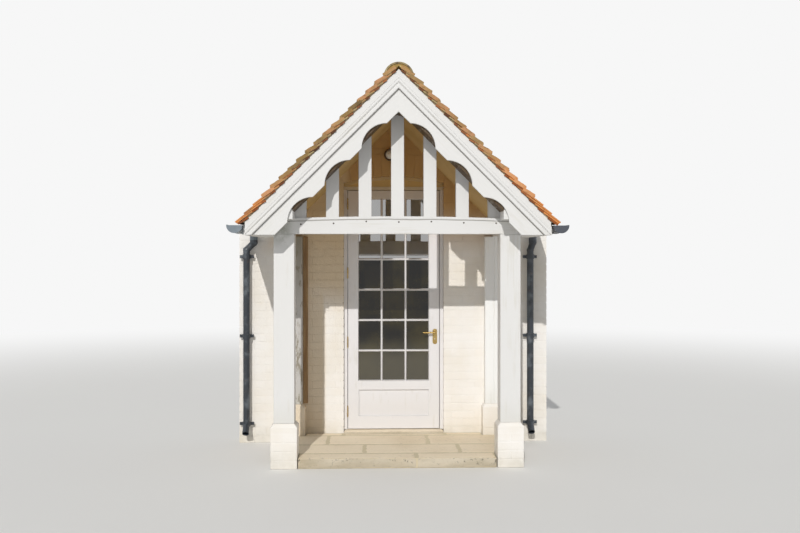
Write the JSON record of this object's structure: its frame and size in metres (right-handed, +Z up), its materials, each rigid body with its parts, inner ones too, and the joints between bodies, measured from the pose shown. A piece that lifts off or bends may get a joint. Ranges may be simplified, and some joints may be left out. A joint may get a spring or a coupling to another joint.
{
  "type": "entrance porch",
  "caption": "Gabled timber entrance porch with tiled roof, lobed bargeboards, brick piers and a stone landing, on the wall piece that holds its glazed door.",
  "frame": {"origin": "ground level under the middle of the doorway, on the outer face of the wall", "axes": "+X to the right of someone who faces the door, +Y into the house, +Z up"},
  "size_m": [2.98, 1.7, 3.5649],
  "materials": {
    "painted_brick": "cream masonry paint",
    "stone": "riven, weathered",
    "painted_timber": "white paint, weathered",
    "joinery_paint": "white eggshell paint",
    "ceiling_paint": "cream paint",
    "clay_tile": "handmade, mossy",
    "ridge_tile": "handmade, lichen",
    "black_iron": "black gloss paint",
    "lead": "weathered lead",
    "dark_metal": "dark bronze paint",
    "opal_glass": "opal",
    "brass": "lacquered, slightly dulled",
    "clear_glass": "clear"
  },
  "bodies": {
    "porch": {"wall_left": "painted_brick", "wall_right": "painted_brick", "wall_over_door": "painted_brick", "door_sill": "stone", "landing": "stone", "pier_front_left": "painted_brick", "pier_front_right": "painted_brick", "pier_back_left": "painted_brick", "pier_back_right": "painted_brick", "post_front_left": "painted_timber", "post_front_right": "painted_timber", "post_back_left": "painted_timber", "post_back_right": "painted_timber", "tie_beam": "painted_timber", "plate_left": "painted_timber", "plate_right": "painted_timber", "gable_struts": "painted_timber", "ridge_board": "painted_timber", "rafters_left": "painted_timber", "rafters_right": "painted_timber", "barge_rafter_left": "painted_timber", "barge_rafter_right": "painted_timber", "ceiling_left": "ceiling_paint", "ceiling_right": "ceiling_paint", "tiles_left": "clay_tile", "tiles_right": "clay_tile", "ridge_tiles": "ridge_tile", "bargeboard_left": "painted_timber", "bargeboard_right": "painted_timber", "barge_moulding_left": "painted_timber", "barge_moulding_right": "painted_timber", "eaves_boards_left": "painted_timber", "eaves_boards_right": "painted_timber", "gutter_left": "black_iron", "gutter_right": "black_iron", "downpipe_left": "black_iron", "downpipe_right": "black_iron", "roof_flashing": "lead", "frame_jamb_left": "joinery_paint", "frame_jamb_right": "joinery_paint", "frame_head": "joinery_paint", "light_ring": "dark_metal", "light_globe": "opal_glass", "hinges_frame_side": "brass"},
    "door": {"hinges_door_side": "brass", "door_leaf": "joinery_paint", "door_glass": "clear_glass", "door_panel": "joinery_paint", "handle_plates": "brass"},
    "lever": {"door_levers": "brass"}
  },
  "joints": [
    {"name": "door_hinge", "type": "hinge", "parent": "porch", "child": "door", "pos_m": [-0.447, 0.0406, 1.3], "axis": [0, 0, -1], "range_deg": [0, 95]},
    {"name": "lever_turn", "type": "hinge", "parent": "door", "child": "lever", "pos_m": [0.402, 0.074, 1.055], "axis": [0, -1, 0], "range_deg": [0, 40], "stiffness_Nm_per_rad": 1.2, "springref_deg": -20.05}
  ]
}
